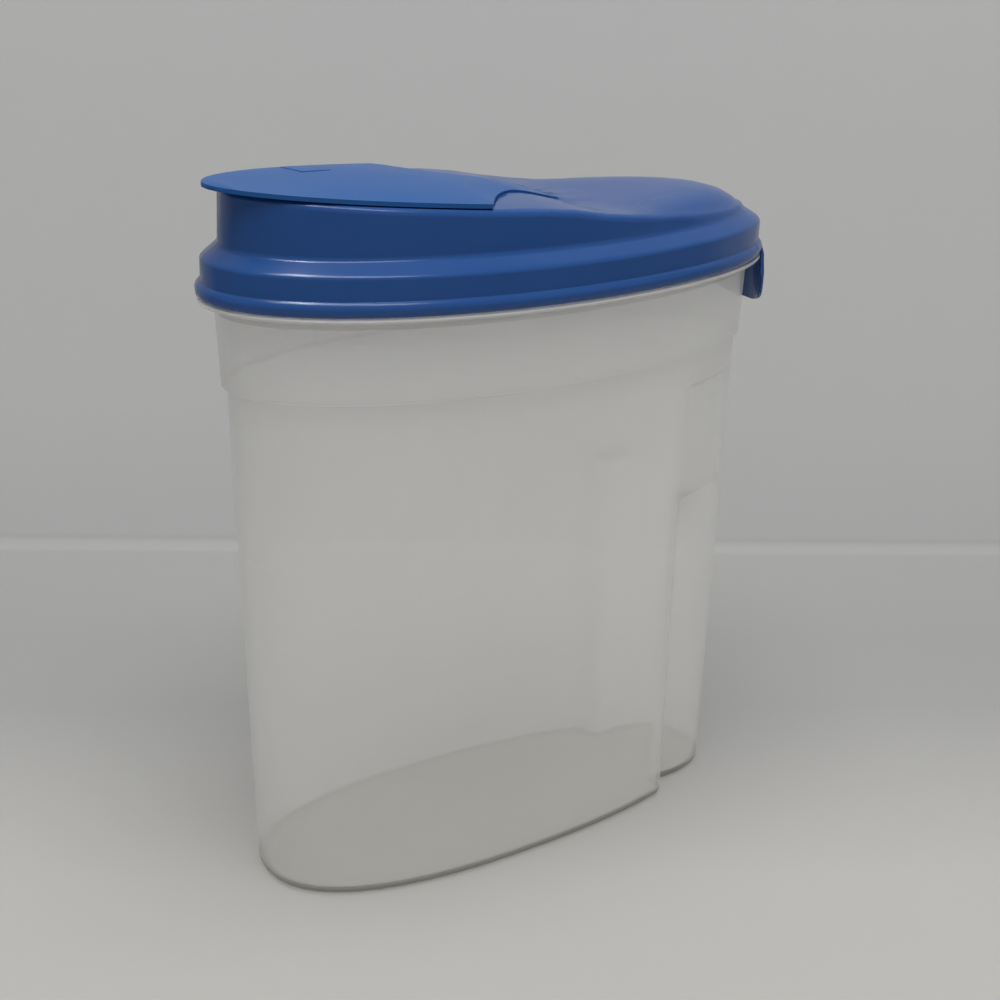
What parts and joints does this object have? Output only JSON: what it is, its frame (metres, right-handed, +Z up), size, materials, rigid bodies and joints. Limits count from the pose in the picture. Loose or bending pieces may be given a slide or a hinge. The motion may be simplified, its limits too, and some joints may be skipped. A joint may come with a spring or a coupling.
{
  "type": "cereal container with flip spout",
  "caption": "Tall oval dry-food keeper: translucent tub with side grips, press-on lid with a sloping deck and a hinged leaf-shaped flip cap over its pour opening.",
  "frame": {"origin": "middle of the rim's plan, projected onto the flat underside of the tub that it stands on", "axes": "+Z up, -X towards the pouring lip, +X towards the grips and the pull tab, Y across the width"},
  "size_m": [0.2754, 0.1208, 0.3076],
  "materials": {
    "milky_polypropylene": "translucent natural polypropylene with a satin moulded surface",
    "blue_lid_plastic": "fine satin moulded polypropylene",
    "blue_cap_plastic": "fine satin moulded polypropylene"
  },
  "bodies": {
    "tub": {"tub": "milky_polypropylene"},
    "lid": {"lid": "blue_lid_plastic"},
    "flip_cap": {"flip_cap": "blue_cap_plastic"}
  },
  "joints": [
    {"name": "lid_lift", "type": "slide", "parent": "tub", "child": "lid", "axis": [0, 0, 1], "range_m": [0, 0.06]},
    {"name": "cap_hinge", "type": "hinge", "parent": "lid", "child": "flip_cap", "pos_m": [0.012, 0, 0.29231], "axis": [0, 1, 0], "range_deg": [0, 110]}
  ]
}
